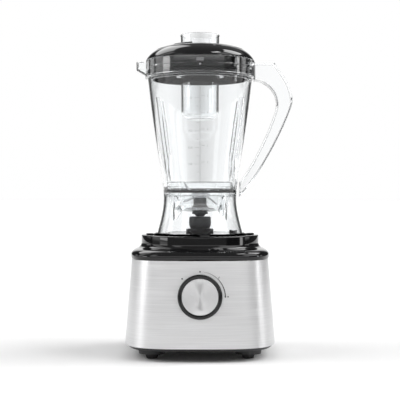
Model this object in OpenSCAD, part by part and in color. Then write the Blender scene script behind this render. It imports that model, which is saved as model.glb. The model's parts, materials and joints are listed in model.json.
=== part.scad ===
// Countertop blender: a clear jug with a screw-on blade carrier, standing on a steel-clad motor base.
// Millimetres, +Z up. The front, with the speed knob, faces -Y, the spout -X and the handle +X.
// The origin is the middle of the bounding box, on the plane that the feet stand on.
// Every module is drawn about the drive axis. on_axis() then moves it to that axis' place in the frame.

/* [Base] */
// Width of the base at the foot of its steel skin
base_w = 191; // [184:1:196]
// Depth of the base at the foot of its steel skin
base_d = 190; // [184:1:196]
// Squareness of the base's outline: 2 is an ellipse, and higher is squarer
base_squareness = 3.6; // [3.2:0.1:4.4]
// Height of the steel skin
skin_h = 106; // [100:1:110]
// How far the skin leans in on each side over its height
skin_lean_in = 8.5; // [6:0.5:9]
// Radius of the round deck that the jug stands on
deck_r = 76; // [74:0.5:77]

/* [Knob] */
// Radius of the knob
knob_r = 27; // [24:0.5:29]
// How far the knob stands out of the front panel
knob_h = 17; // [15:0.5:19]

/* [Jug] */
// Height of the jug's rim above the deck
jug_h = 224.5; // [220:0.5:230]
// Outer radius of the collar round the jug's mouth
collar_r = 70.9; // [69:0.1:71.5]
// Outer radius of the jug's waist, where the blade carrier screws on
waist_r = 47.3; // [46.5:0.1:48]
// Wall of the clear plastic
wall = 2.8; // [2.4:0.1:3]
// How far the handle reaches from the drive axis
handle_reach = 119.6; // [117:0.1:122]

/* [Lid] */
// Height of the lid's dome above the jug's rim
dome_h = 18.5; // [17:0.5:20]
// Outer radius of the filler cup
cup_r = 25.1; // [24:0.1:25.4]
// How far the filler cup stands above the dome
cup_above = 15.5; // [12:0.5:18]
// How far the filler cup hangs below the dome
cup_below = 94; // [80:1:98]

/* [Hidden] */
$fn = 96;
hull_fn = 32;
gap = 0.3; // clearance between pieces that move apart
lip = 0.4; // overlap that fuses two solids of one piece

// Heights above the table
pad_z = 6; // underside of the foot pads
under_z = 12; // underside of the bottom cover
skin_z0 = 16;
skin_z1 = skin_z0 + skin_h;
shoulder_z = skin_z1 + 12.5;
deck_z = skin_z1 + 29;
bowl_floor_z = deck_z + 29;
split_z = deck_z + 54; // where the carrier ends and the gasket lies
jug_z0 = split_z + 3.5;
rim_z = deck_z + jug_h;
collar_z = rim_z - 23.5;
dome_z = rim_z + dome_h;
cup_top_z = dome_z + cup_above;

lean = atan(skin_lean_in / skin_h);
knob_z = skin_z0 + 63;

// Screw and mount places
foot_at = [60, 58];
base_screw_at = [28, 78];
cover_screw_at = [60, 60];
damper_at = [44, 38];
bolt_at = [32, 26];

// Radii that mate
shaft_r = 4;
bearing_r = 11;
blade_shaft_r = 3;
switch_shaft_r = 3;
switch_bush_r = 4.6;
running = 0.1;
gland_bore_r = 3.6;

// Where the drive axis stands in the frame: the box reaches from the base to the handle, and from the knob
// to the cord gland
gland_out = 13;
knob_edge = 2; // rounding of the knob's front edge
gland_z = 34;
gland_tip_r = 5.6;
front_reach = -front_y(knob_z) + (knob_h - 0.4 - knob_edge) * cos(lean) + (knob_r - knob_edge) * sin(lean)
  + knob_edge;
rear_reach = -front_y(gland_z) + gland_out * cos(lean) + gland_tip_r * sin(lean);
axis_at = [-(handle_reach - base_w / 2) / 2, (front_reach - rear_reach) / 2, 0];

// ---------- Shared shapes ----------

// Where the front face of the skin is at a height
function front_y(z) = -(base_d / 2 - (z - skin_z0) * skin_lean_in / skin_h);

// A point on a cubic Bezier curve, and the curve as n + 1 points
function bezier_at(p, t) =
  pow(1 - t, 3) * p[0] + 3 * pow(1 - t, 2) * t * p[1] + 3 * (1 - t) * t * t * p[2] + t * t * t * p[3];
function bezier(p, n = 12) = [for (i = [0:n]) bezier_at(p, i / n)];

// Points of an arc about c, from angle a0 to a1
function arc(c, r, a0, a1, n = 6) =
  [for (i = [0:n]) c + r * [cos(a0 + (a1 - a0) * i / n), sin(a0 + (a1 - a0) * i / n)]];

// A list of points moved sideways by d
function shifted(p, d) = [for (q = p) q + [d, 0]];
function reversed(p) = [for (i = [len(p) - 1:-1:0]) p[i]];

// A star outline with n lobes
function star(r_out, r_in, n) =
  [for (i = [0:2 * n - 1]) let(r = i % 2 == 0 ? r_out : r_in, a = i * 180 / n) r * [cos(a), sin(a)]];

module on_axis() {
  translate(axis_at) children();
}

// Copies at (+-x, +-y)
module at_corners(p) {
  for (sx = [-1, 1], sy = [-1, 1])
    translate([sx * p[0], sy * p[1], 0]) children();
}

module ring(r_out, r_in, h) {
  difference() {
    cylinder(r = r_out, h = h);
    translate([0, 0, -1]) cylinder(r = r_in, h = h + 2);
  }
}

module revolve(points) {
  rotate_extrude() polygon(points);
}

// Part of a revolved rectangle, from angle a0 round by sweep
module arc_block(r_in, r_out, z0, z1, a0, sweep) {
  rotate([0, 0, a0])
    rotate_extrude(angle = sweep)
      translate([r_in, z0]) square([r_out - r_in, z1 - z0]);
}

// The base's outline, a superellipse, taken in by an inset on every side
function power(v, p) = sign(v) * pow(abs(v), p);
function outline(inset, n) =
  [for (i = [0:n - 1]) let(a = (i + 0.5) * 360 / n) [
    (base_w / 2 - inset) * power(cos(a), 2 / base_squareness),
    (base_d / 2 - inset) * power(sin(a), 2 / base_squareness)
  ]];

// A tapering block of that outline, with inset in0 at z0 and in1 at z1
module casing(z0, in0, z1, in1, n = 72) {
  slice = 0.01;
  hull() {
    translate([0, 0, z0]) linear_extrude(slice) polygon(outline(in0, n));
    translate([0, 0, z1 - slice]) linear_extrude(slice) polygon(outline(in1, n));
  }
}

// How far in the skin stands at a height, with an inset of its own on top
function skin_in(z, inset = 0) = (z - skin_z0) * skin_lean_in / skin_h + inset;

module skin_block(z0, z1, inset) {
  casing(z0, skin_in(z0, inset), z1, skin_in(z1, inset));
}

// The frame of the front panel at the knob: +Z out of the panel, +Y up it
module on_front() {
  translate([0, front_y(knob_z), knob_z]) rotate([90 - lean, 0, 0]) children();
}

// The frame of the rear panel at height z: +Z out of the panel, +Y down it
module on_rear(z) {
  translate([0, -front_y(z), z]) rotate([-90 + lean, 0, 0]) children();
}

// ---------- Base casings ----------

rear_window = [60, 84];
rear_window_z = 64;

module steel_skin() {
  color("silver")
    difference() {
      skin_block(skin_z0, skin_z1, 0);
      skin_block(skin_z0 - 1, skin_z1 + 1, 0.8);
      on_front() translate([0, 0, -3]) cylinder(r = 5.4, h = 6);
      on_rear(rear_window_z) translate([-rear_window[0] / 2, -rear_window[1] / 2, -3])
        cube([rear_window[0], rear_window[1], 6]);
    }
}

module main_housing() {
  post_h = skin_z1 - 27;
  color("dimgray") {
    difference() {
      union() {
        difference() {
          skin_block(skin_z0 + 3.2, skin_z1 - 1, 1);
          skin_block(skin_z0 + 2, skin_z1, 3.4);
        }
        at_corners(base_screw_at) translate([0, 0, under_z + 5]) cylinder(r = 5, h = 27);
        at_corners(cover_screw_at) translate([0, 0, skin_z1 - 22]) cylinder(r = 5, h = 12);
        // webs that tie the posts to the walls
        for (sx = [-1, 1], sy = [-1, 1])
          translate([sx * base_screw_at[0] - 1.5, sy * 86 - 4, skin_z0 + 7]) cube([3, 8, 19]);
        for (a = [45:90:315])
          rotate([0, 0, a]) translate([87, -1.5, skin_z1 - 22]) cube([11.5, 3, 12]);
      }
      on_front() translate([0, 0, -6]) cylinder(r = 4.9, h = 8);
      on_rear(rear_window_z) translate([-24, -36, -6]) cube([48, 66, 8]);
      on_rear(gland_z) translate([0, 0, -6]) cylinder(r = 6.2, h = 8);
      at_corners(base_screw_at) translate([0, 0, under_z]) cylinder(r = 1.8, h = 25.5);
      at_corners(cover_screw_at) translate([0, 0, skin_z1 - 24]) cylinder(r = 2.2, h = 16);
    }
  }
}

// The outline of the shoulder in [height above the skin, how far in from its edge]
shoulder = [[0.2, 0.2], [3.5, -1.1], [7.5, -0.6], [10.5, 2], [12.5, 6.5]];

module top_cover() {
  edge = skin_in(skin_z1);
  color("#101012")
    difference() {
      union() {
        for (i = [0:len(shoulder) - 2])
          casing(skin_z1 + shoulder[i][0], edge + shoulder[i][1],
            skin_z1 + shoulder[i + 1][0] + 0.01, edge + shoulder[i + 1][1]);
        // the neck that sweeps up from the shoulder to the round deck
        revolve(concat(
          [[0, shoulder_z - 3], [deck_r + 6.5, shoulder_z - 3], [deck_r + 6.5, shoulder_z - 0.5]],
          arc([deck_r + 6.5, shoulder_z + 6], 6.5, 270, 180),
          [[deck_r, deck_z - 1.5]],
          arc([deck_r - 1.5, deck_z - 1.5], 1.5, 0, 90),
          [[0, deck_z]]
        ));
        // lugs that lock the jug: two high ones behind, two low ones in front
        for (a = [22, 113])
          arc_block(42, 48.5, deck_z - lip, deck_z + 5.5, a, 45);
        for (a = [207, 288])
          arc_block(42, 48.5, deck_z - lip, deck_z + 2, a, 45);
        // outer lugs that lock a wider bowl
        for (a = [10, 100, 190, 280])
          arc_block(61, 70, deck_z - lip, deck_z + 1.8, a, 10);
        // bosses that the cover screws bite into
        at_corners(cover_screw_at) translate([0, 0, skin_z1 - 9.6]) cylinder(r = 5, h = 16);
      }
      difference() {
        union() {
          casing(skin_z1 - 1, edge + 3.4, skin_z1 + 8, edge + 3);
          translate([0, 0, skin_z1 + 7]) cylinder(r = deck_r - 3, h = deck_z - skin_z1 - 10);
        }
        at_corners(cover_screw_at) translate([0, 0, skin_z1 - 10]) cylinder(r = 5, h = 20);
      }
      translate([0, 0, deck_z - 5]) cylinder(r = 13, h = 10);
      at_corners(cover_screw_at) translate([0, 0, skin_z1 - 12]) cylinder(r = 1.8, h = 15);
      // drip groove under the foot of the jug
      translate([0, 0, deck_z - 0.8]) ring(59.5, 50.5, 2);
    }
}

module bottom_cover() {
  color("#151515")
    difference() {
      union() {
        difference() {
          casing(under_z, 5, skin_z0 - 0.2, 0.8);
          casing(under_z + 3, 8, skin_z0 + 1, 5.6);
        }
        // the rim that locates the housing
        difference() {
          casing(skin_z0 - 0.6, 4, skin_z0 + 6, 4.4);
          casing(skin_z0 - 1, 5.8, skin_z0 + 7, 6.2);
        }
        at_corners(foot_at) translate([0, 0, pad_z]) cylinder(r1 = 16, r2 = 17, h = under_z - pad_z + lip);
        at_corners(damper_at) translate([0, 0, under_z + 1]) cylinder(r = 5.5, h = 17);
        at_corners(base_screw_at) translate([0, 0, under_z + 1]) cylinder(r = 6, h = 3.8);
        at_corners([62, 15]) translate([0, 0, under_z + 1]) cylinder(r = 3, h = 27);
      }
      at_corners(foot_at) translate([0, 0, pad_z - 1]) cylinder(r = 4.1, h = 7);
      // the base screws sit flush in counterbored bosses
      at_corners(base_screw_at) translate([0, 0, under_z - 1]) cylinder(r = 4, h = 3.5);
      at_corners(base_screw_at) translate([0, 0, under_z + 2]) cylinder(r = 2.3, h = 4);
      at_corners(damper_at) translate([0, 0, under_z + 6]) cylinder(r = 1.8, h = 20);
      // air slots under the fan
      for (i = [-4:4])
        translate([i * 7 - 1.6, -24, under_z - 1]) cube([3.2, 48, 6]);
    }
}

module rear_panel() {
  t = 2.4;
  color("#161618")
    difference() {
      on_rear(rear_window_z) {
        translate([-rear_window[0] / 2 + 0.2, -rear_window[1] / 2 + 0.2, -1])
          cube([rear_window[0] - 0.4, rear_window[1] - 0.4, t]);
        // snap frame that passes through the housing's own window
        difference() {
          translate([-23.8, -35.8, -4.5]) cube([47.6, 65.6, 4]);
          translate([-21.8, -33.8, -5]) cube([43.6, 61.6, 5]);
        }
      }
      on_rear(rear_window_z)
        for (i = [0:6])
          translate([-20, -31 + i * 7, -2]) cube([40, 3, 5]);
      on_rear(gland_z) translate([0, 0, -6]) cylinder(r = 6.2, h = 12);
    }
}

module cord_gland() {
  color("#0c0c0c")
    on_rear(gland_z)
      difference() {
        union() {
          translate([0, 0, -8]) cylinder(r = 8.5, h = 3);
          translate([0, 0, -8]) cylinder(r = 6, h = 10);
          translate([0, 0, 1.6]) cylinder(r = 9, h = 2.6);
          translate([0, 0, 4]) cylinder(r1 = 7.6, r2 = gland_tip_r, h = gland_out - 4);
        }
        translate([0, 0, -9]) cylinder(r = gland_bore_r, h = gland_out + 10);
      }
}

module feet() {
  color("#0a0a0a")
    at_corners(foot_at) {
      cylinder(r1 = 6.7, r2 = 8.6, h = pad_z);
      translate([0, 0, pad_z - 0.5]) cylinder(r = 4, h = 6);
    }
}

// A pan-head screw standing on its head, its shank pointing up
module screw(head_r, head_h, shank_r, length) {
  difference() {
    cylinder(r = head_r, h = head_h);
    translate([-head_r * 0.6, -0.5, -0.1]) cube([head_r * 1.2, 1, head_h * 0.5]);
    translate([-0.5, -head_r * 0.6, -0.1]) cube([1, head_r * 1.2, head_h * 0.5]);
  }
  translate([0, 0, head_h - 0.1]) cylinder(r = shank_r, h = length);
}

module base_screws() {
  color("gainsboro") at_corners(base_screw_at) translate([0, 0, under_z + 0.3]) screw(3.6, 2.2, 1.7, 22);
}

module cover_screws() {
  color("gainsboro")
    at_corners(cover_screw_at) translate([0, 0, skin_z1 - 24.4]) screw(3.6, 2.2, 1.7, 22);
}

// ---------- Knob and switch ----------

module knob_body() {
  color("#0d0d0d")
    on_front()
      difference() {
        union() {
          revolve(concat(
            [[0, 1.2], [knob_r, 1.2], [knob_r, knob_h - 0.4 - knob_edge]],
            arc([knob_r - knob_edge, knob_h - 0.4 - knob_edge], knob_edge, 0, 90),
            [[0, knob_h - 0.4]]
          ));
        }
        translate([0, 0, knob_h - 2]) cylinder(r = 22.2, h = 4);
        difference() {
          cylinder(r = knob_r - 2.6, h = knob_h - 5);
          cylinder(r = 6, h = knob_h);
        }
        difference() {
          cylinder(r = switch_shaft_r, h = 12);
          translate([1.6, -5, -1]) cube([4, 10, 20]);
        }
      }
}

module knob_cap() {
  color("gainsboro")
    on_front()
      revolve(concat([[0, knob_h - 2], [22, knob_h - 2]], arc([21.4, knob_h - 0.6], 0.6, 0, 90), [[0, knob_h]]));
}

module switch_shaft() {
  color("silver")
    on_front()
      difference() {
        translate([0, 0, -20]) cylinder(r = switch_shaft_r, h = 31.8);
        translate([1.5, -5, 0.9]) cube([4, 10, 13]);
      }
}

module rotary_switch() {
  color("#3a3a3e")
    on_front()
      difference() {
        union() {
          translate([-13, -13, -21]) cube([26, 26, 17.3]);
          translate([0, 0, -5]) cylinder(r = switch_bush_r, h = 5.8);
          for (x = [-9, 0, 9])
            translate([x - 2.4, -1, -28]) cube([4.8, 0.8, 7]);
        }
        translate([0, 0, -20.4]) cylinder(r = switch_shaft_r + running, h = 40);
      }
}

module switch_nut() {
  color("silver")
    on_front()
      difference() {
        translate([0, 0, 0.1]) cylinder(r = 6, h = 0.8, $fn = 6);
        cylinder(r = switch_bush_r + 0.05, h = 3);
      }
}

module control_board() {
  color("darkgreen") {
    translate([-63, -26, under_z + 28]) cube([1.6, 52, 44]);
    translate([-61.5, -18, under_z + 54]) cube([9, 16, 14]);
    translate([-61.5, 12, under_z + 34]) rotate([0, 90, 0]) cylinder(r = 4, h = 12);
  }
}

module filter_capacitor() {
  color("orange") translate([-61.4, -14, under_z + 30]) cube([9, 12, 16]);
}

// ---------- Motor ----------

stack_z0 = 76; // foot of the laminations
stack_z1 = 110;
rotor_r = 19.5;
bore_r = 20.4;
fan_z = 46;
commutator_z = 60;

// One field coil's slots lie at these angles
coil_angles = [35, 120];

module motor_stator() {
  color("slategray")
    difference() {
      translate([-39, -33, stack_z0]) cube([78, 66, stack_z1 - stack_z0]);
      translate([0, 0, stack_z0 - 1]) cylinder(r = bore_r, h = 60);
      for (side = [0, 180], a = coil_angles)
        arc_block(22, 29.5, stack_z0 - 1, stack_z1 + 1, side + a, 25);
      at_corners(bolt_at) translate([0, 0, stack_z0 - 1]) cylinder(r = 2.2, h = 60);
      at_corners([42, 36]) translate([0, 0, stack_z0 - 1]) rotate([0, 0, 45]) cube([12, 12, 90], center = true);
    }
}

module field_coils() {
  first = coil_angles[0] + 1;
  sweep = coil_angles[1] - coil_angles[0] + 23;
  color("peru")
    for (side = [0, 180]) {
      for (a = coil_angles)
        arc_block(22.4, 29, stack_z0 - 1, stack_z1 + 1, side + a + 1, 23);
      for (z = [stack_z0 - 5.5, stack_z1 + 0.5])
        arc_block(21.4, 30.5, z, z + 5, side + first - 2, sweep + 4);
    }
}

module upper_motor_bracket() {
  color("gray")
    difference() {
      union() {
        translate([-39, -9, stack_z1 + 8]) cube([78, 18, 3]);
        for (s = [-1, 1]) translate([s * bolt_at[0] - 5, -31, stack_z1 + 8]) cube([10, 62, 3]);
        translate([0, 0, stack_z1 + 7.4]) cylinder(r = 14, h = 9);
        at_corners(bolt_at) translate([0, 0, stack_z1]) cylinder(r = 4, h = 9);
      }
      translate([0, 0, stack_z1 + 8.6]) cylinder(r = bearing_r, h = 12);
      translate([0, 0, stack_z1]) cylinder(r = 7, h = 20);
      at_corners(bolt_at) translate([0, 0, stack_z1 - 1]) cylinder(r = 2.1, h = 20);
    }
}

module lower_motor_bracket() {
  plate_z = under_z + 22;
  color("gray")
    difference() {
      union() {
        for (s = [-1, 1]) {
          translate([s * damper_at[0] - 6, -damper_at[1] - 6, plate_z]) cube([12, 2 * damper_at[1] + 12, 4]);
          // upright tabs that carry the brush holders
          translate([s * 38 - 2, -6, plate_z]) cube([4, 12, 40]);
        }
        translate([-damper_at[0], -10, plate_z]) cube([2 * damper_at[0], 20, 4]);
        translate([0, 0, plate_z - 2]) cylinder(r = 14, h = 10);
        at_corners(bolt_at) translate([0, 0, plate_z]) cylinder(r = 4, h = stack_z0 - plate_z);
        for (s = [-1, 1])
          translate([-damper_at[0], s * bolt_at[1] - 4, plate_z]) cube([2 * damper_at[0], 8, 4]);
      }
      translate([0, 0, plate_z + 0.4]) cylinder(r = bearing_r, h = 12);
      translate([0, 0, plate_z - 3]) cylinder(r = 7, h = 12);
      at_corners(bolt_at) translate([0, 0, plate_z - 1]) cylinder(r = 1.9, h = 60);
      at_corners(damper_at) translate([0, 0, plate_z - 1]) cylinder(r = 2.2, h = 20);
    }
}

module motor_bolts() {
  color("silver")
    at_corners(bolt_at) {
      translate([0, 0, under_z + 23]) cylinder(r = 1.85, h = stack_z1 + 11 - under_z - 22.9);
      translate([0, 0, stack_z1 + 11]) cylinder(r = 3.6, h = 2.4, $fn = 6);
    }
}

module motor_dampers() {
  color("#202020") at_corners(damper_at) translate([0, 0, under_z + 18]) ring(6.5, 2.2, 4);
}

module damper_screws() {
  color("silver")
    at_corners(damper_at)
      translate([0, 0, under_z + 28.2]) mirror([0, 0, 1]) screw(3.8, 2.2, 1.75, 17);
}

module ball_bearing(z) {
  translate([0, 0, z]) ring(bearing_r, 8.8, 7);
  translate([0, 0, z]) ring(6.2, shaft_r + running, 7);
  translate([0, 0, z + 1]) ring(9, 6, 5);
}

module upper_bearing() {
  color("lightsteelblue") ball_bearing(stack_z1 + 8.6);
}

module lower_bearing() {
  color("lightsteelblue") ball_bearing(under_z + 22.4);
}

module brush_holders() {
  color("tan")
    for (side = [0, 180])
      rotate([0, 0, side])
        difference() {
          translate([14, -5, commutator_z + 0.5]) cube([22, 10, 11]);
          translate([13, -3.2, commutator_z + 2.8]) cube([22, 6.4, 6.4]);
        }
}

module carbon_brushes() {
  color("#2b2b2b")
    for (side = [0, 180])
      rotate([0, 0, side])
        difference() {
          translate([11.2, -3.1, commutator_z + 2.9]) cube([13, 6.2, 6.2]);
          cylinder(r = 11.3, h = 100);
        }
}

// A coil spring as stacked rings joined by a thin core, pressing on each brush
module brush_springs() {
  color("silver")
    for (side = [0, 180])
      rotate([0, 0, side])
        translate([24.3, 0, commutator_z + 6]) rotate([0, 90, 0]) {
          cylinder(r = 1, h = 10.4);
          for (i = [0:5])
            translate([0, 0, 0.2 + i * 1.9]) cylinder(r = 2.4, h = 0.8);
        }
}

module motor_shaft() {
  color("silver") translate([0, 0, under_z + 20]) cylinder(r = shaft_r, h = deck_z - under_z - 18.5);
}

module armature_core() {
  slots = 12;
  color("slategray")
    difference() {
      translate([0, 0, stack_z0 + 1]) cylinder(r = rotor_r, h = stack_z1 - stack_z0 - 2);
      translate([0, 0, stack_z0 - 1]) cylinder(r = shaft_r, h = 60);
      for (i = [0:slots - 1])
        rotate([0, 0, i * 360 / slots]) translate([12, -1.4, stack_z0]) cube([10, 2.8, 60]);
    }
}

module armature_windings() {
  color("peru") {
    for (z = [stack_z0 - 4.4, stack_z1 - 0.8])
      translate([0, 0, z])
        revolve(concat([[shaft_r + 0.5, 0], [15, 0]], arc([14, 2.6], 2.6, -60, 60), [[15, 5.2], [shaft_r + 0.5, 5.2]]));
  }
}

module commutator() {
  color("chocolate")
    difference() {
      translate([0, 0, commutator_z]) ring(11, shaft_r, 11);
      for (i = [0:23])
        rotate([0, 0, i * 15]) translate([10.2, -0.3, commutator_z - 1]) cube([2, 0.6, 13]);
    }
}

module cooling_fan() {
  blades = 9;
  color("whitesmoke") {
    difference() {
      union() {
        translate([0, 0, fan_z]) cylinder(r = 8, h = 10);
        translate([0, 0, fan_z + 8.4]) cylinder(r = 30, h = 1.6);
        for (i = [0:blades - 1])
          rotate([0, 0, i * 360 / blades]) translate([6, -0.8, fan_z]) rotate([0, 0, -8]) cube([23.6, 1.6, 9]);
      }
      translate([0, 0, fan_z - 1]) cylinder(r = shaft_r, h = 12);
    }
  }
}

module shaft_slinger() {
  color("#1c1c1c") translate([0, 0, deck_z - 16]) ring(11, shaft_r, 2.5);
}

// Female half of the dog coupling: a bowl on the shaft's end with a six-lobed recess
lobe = [9.2, 7]; // outer and inner radius of the male star

module drive_coupling() {
  color("#2c2c30")
    difference() {
      revolve([
        [0, deck_z - 12], [8, deck_z - 12], [8, deck_z - 0.5], [9.5, deck_z + 0.6], [13.6, deck_z + 3.4],
        [16.2, deck_z + 7.2], [15, deck_z + 7.2], [12.4, deck_z + 5.6], [0, deck_z + 5.6]
      ]);
      translate([0, 0, deck_z - 13]) cylinder(r = shaft_r, h = 14.5);
      translate([0, 0, deck_z + 1.6]) linear_extrude(8) polygon(star(lobe[0] + 0.4, lobe[1] + 0.4, 6));
    }
}

// ---------- Blade carrier ----------

carrier_outer = bezier([[waist_r - 0.1, split_z - 1], [waist_r - 0.7, deck_z + 34],
  [waist_r + 3.2, deck_z + 21], [56, deck_z + gap]]);
bowl_inner = bezier([[39.6, split_z - 1], [37.5, split_z - 9], [35.5, split_z - 21], [29, bowl_floor_z + 2.2]], 8);

module jug_base() {
  color("azure", 0.35)
    difference() {
      union() {
        // the skirt
        revolve(concat(carrier_outer, reversed(shifted(carrier_outer, -wall))));
        // the bowl that the blades turn in, with a flange out to the skirt
        revolve(concat(
          [[6.7, bowl_floor_z], [29.6, bowl_floor_z]],
          reversed(shifted(bowl_inner, 2.2)),
          [[waist_r - wall + 0.3, split_z - 4], [waist_r - 0.1, split_z - 1], [waist_r - 0.1, split_z],
            [43.2, split_z], [43.2, split_z + 14], [40.2, split_z + 14]],
          bowl_inner,
          [[6.7, bowl_floor_z + 2.2]]
        ));
        // gussets between the bowl and the skirt
        for (a = [45:90:315])
          rotate([0, 0, a]) rotate([90, 0, 0])
            linear_extrude(2.4, center = true)
              polygon([[33, bowl_floor_z + 3], [45.6, deck_z + 19], [46.2, split_z - 6], [41, split_z - 4],
                [38.6, split_z - 14]]);
        // thread starts on the spigot
        for (a = [0, 120, 240])
          arc_block(43, 43.9, split_z + 5, split_z + 8, a, 60);
      }
      translate([0, 0, bowl_floor_z - 1]) cylinder(r = 6.7, h = 6);
    }
}

module jug_gasket() {
  color("#080808") translate([0, 0, split_z]) ring(waist_r, 43.4, 3.2);
}

module bearing_housing() {
  color("#3b3b40")
    difference() {
      revolve([
        [0, bowl_floor_z - 5.6], [5.2, bowl_floor_z - 5.6], [7.6, bowl_floor_z - 2.8], [10.2, bowl_floor_z - 2.6],
        [10.2, bowl_floor_z - 0.1], [6.5, bowl_floor_z - 0.1], [6.5, bowl_floor_z + 5.2], [0, bowl_floor_z + 5.2]
      ]);
      translate([0, 0, bowl_floor_z - 6]) cylinder(r = 4.6, h = 9.6);
      translate([0, 0, bowl_floor_z - 7]) cylinder(r = blade_shaft_r + 0.5, h = 14);
      translate([0, 0, bowl_floor_z + 3.4]) cylinder(r = 5.2, h = 3);
    }
}

module bearing_nut() {
  color("#3b3b40")
    translate([0, 0, bowl_floor_z + 2.3])
      difference() {
        cylinder(r = 9.6, h = 2.2);
        translate([0, 0, -1]) cylinder(r = 6.6, h = 5);
        for (i = [0:5])
          rotate([0, 0, i * 60]) translate([8.6, -1, -1]) cube([3, 2, 5]);
      }
}

module shaft_seal() {
  color("#1a1a1a") translate([0, 0, bowl_floor_z + 3.5]) ring(5.1, blade_shaft_r + running, 1.6);
}

module shaft_bushes() {
  color("goldenrod")
    for (z = [-5.4, -0.6])
      translate([0, 0, bowl_floor_z + z]) ring(4.6, blade_shaft_r + running, 4);
}

// ---------- Blades ----------

hub_z0 = bowl_floor_z + 7;
hub_z1 = hub_z0 + 11.8;

module blade_shaft() {
  color("silver") translate([0, 0, deck_z + 12]) cylinder(r = blade_shaft_r, h = hub_z1 + 6.5 - deck_z - 12);
}

module blade_hub() {
  color("#46464c")
    difference() {
      revolve([
        [0, hub_z0], [11, hub_z0], [8.5, hub_z0 + 2.6], [8.5, hub_z1 - 0.8], [7.7, hub_z1], [0, hub_z1]
      ]);
      translate([0, 0, hub_z0 - 1]) cylinder(r = blade_shaft_r, h = 20);
    }
}

// One sharpened wing: a flat arm that leaves the hub, then a wing bent by pitch degrees, up or down, at radius bend
module wing(turn, pitch, length, width) {
  bend = 8.8;
  fold = pitch < 0 ? 1.4 : 0; // the face that the fold turns about
  rotate([0, 0, turn]) {
    translate([0, -width / 2, 0]) cube([bend, width, 1.4]);
    translate([bend, 0, fold]) rotate([0, -pitch, 0]) translate([0, 0, -fold])
      linear_extrude(1.4)
        polygon([[-0.2, 0.1 - width / 2], [length * 0.7, 0.1 - width / 2], [length, width * 0.1],
          [length * 0.78, width / 2 - 0.1], [-0.2, width / 2 - 0.1]]);
  }
}

module blade_plate(z, wings) {
  difference() {
    translate([0, 0, z])
      union() {
        cylinder(r = 7.4, h = 1.4);
        for (w = wings) wing(w[0], w[1], w[2], w[3]);
      }
    translate([0, 0, z - 10]) cylinder(r = blade_shaft_r, h = 20);
  }
}

module upper_blade() {
  color("lightgray") blade_plate(hub_z1 + 1.5, [[172, 50, 20, 8], [-12, -38, 17, 8]]);
}

module middle_blade() {
  color("lightgray") blade_plate(hub_z1, [[212, -20, 18, 8], [60, 24, 20, 8]]);
}

module lower_blade() {
  color("lightgray") blade_plate(hub_z0 - 1.5, [[184, -5, 14, 7], [4, -5, 14, 7]]);
}

module blade_nut() {
  color("silver")
    difference() {
      union() {
        translate([0, 0, hub_z1 + 3]) cylinder(r = 5.2, h = 3.4, $fn = 6);
        translate([0, 0, hub_z1 + 2.95]) cylinder(r = 5.6, h = 0.6);
      }
      translate([0, 0, hub_z1]) cylinder(r = blade_shaft_r, h = 10);
    }
}

module driven_coupling() {
  z0 = deck_z + 7.6;
  z1 = deck_z + 23.2;
  color("#2c2c30")
    difference() {
      union() {
        revolve(concat(
          [[0, z0], [12.4, z0], [13.9, z0 + 3.6], [14.4, z0 + 7.5], [13.9, z1 - 1.4], [12.8, z1 - 0.2], [0, z1 - 0.2]]
        ));
        translate([0, 0, deck_z + 2.2]) linear_extrude(z0 - deck_z - 2) polygon(star(lobe[0], lobe[1], 6));
      }
      translate([0, 0, deck_z + 11]) cylinder(r = blade_shaft_r, h = 20);
    }
}

// ---------- Jug ----------

jug_outer = bezier([[waist_r, jug_z0 + 3.5], [waist_r + 0.3, jug_z0 + 23.5],
  [waist_r + 12.2, jug_z0 + 71.5], [collar_r - 3.5, collar_z - 1]], 18);
jug_inner = concat([[waist_r - wall, jug_z0 + 12]], [for (i = [4:18]) jug_outer[i] - [wall, 0]]);

// The handle's outline: the outer edge out and down, then the inner edge back up
handle_root = collar_r - 2.1;
handle_end = waist_r + 3.5;
handle_outer = concat(
  bezier([[handle_reach - 23.4, rim_z - 2.3], [handle_reach - 13.6, rim_z - 15.5], [handle_reach - 0.6, rim_z - 31.5],
    [handle_reach, rim_z - 51.5]], 10),
  bezier([[handle_reach, rim_z - 51.5], [handle_reach + 0.2, rim_z - 63.5], [handle_reach - 35.2, rim_z - 142.5],
    [handle_end, rim_z - 175.6]], 16)
);
handle_inner = concat(
  bezier([[handle_end, rim_z - 156.6], [handle_end + 18, rim_z - 137], [handle_reach - 20, rim_z - 70.5],
    [handle_reach - 20.4, rim_z - 54.5]], 16),
  bezier([[handle_reach - 20.4, rim_z - 54.5], [handle_reach - 21.1, rim_z - 37.5], [handle_reach - 35.6, rim_z - 25.3],
    [handle_root + 1.2, rim_z - 25.3]], 10)
);

module handle_outline() {
  polygon(concat([[handle_root, rim_z - 2.3]], handle_outer, handle_inner, [[handle_root, rim_z - 23]]));
}

// An I-beam: a web with a flange round its whole edge
module handle() {
  rotate([90, 0, 0]) {
    linear_extrude(3.2, center = true) handle_outline();
    linear_extrude(18, center = true)
      difference() {
        handle_outline();
        offset(delta = -3) handle_outline();
      }
  }
}

// The pouring lip, drawn as a block that reaches from inside the collar to its tip
module spout_block(inset) {
  hull() {
    for (s = [-1, 1])
      translate([-collar_r + 5, s * (15 - inset), collar_z + 3 + inset])
        cylinder(r = 2, h = rim_z - collar_z - 3, $fn = hull_fn);
    translate([-collar_r - 9.9 + inset, 0, rim_z - 11 + inset]) cylinder(r = 2, h = 10.4, $fn = hull_fn);
  }
}

// A baffle on the inside of the wall, deepest in its middle
module rib(turn) {
  at = [for (i = [4:2:16]) jug_outer[i] - [wall - 0.6, 0]];
  depth = [0, 2.5, 4.5, 5.5, 5.5, 5.5, 4];
  rotate([0, 0, turn]) rotate([90, 0, 0])
    linear_extrude(3, center = true)
      polygon(concat(at, reversed([for (i = [0:6]) at[i] - [depth[i] + 0.7, 0]])));
}

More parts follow.
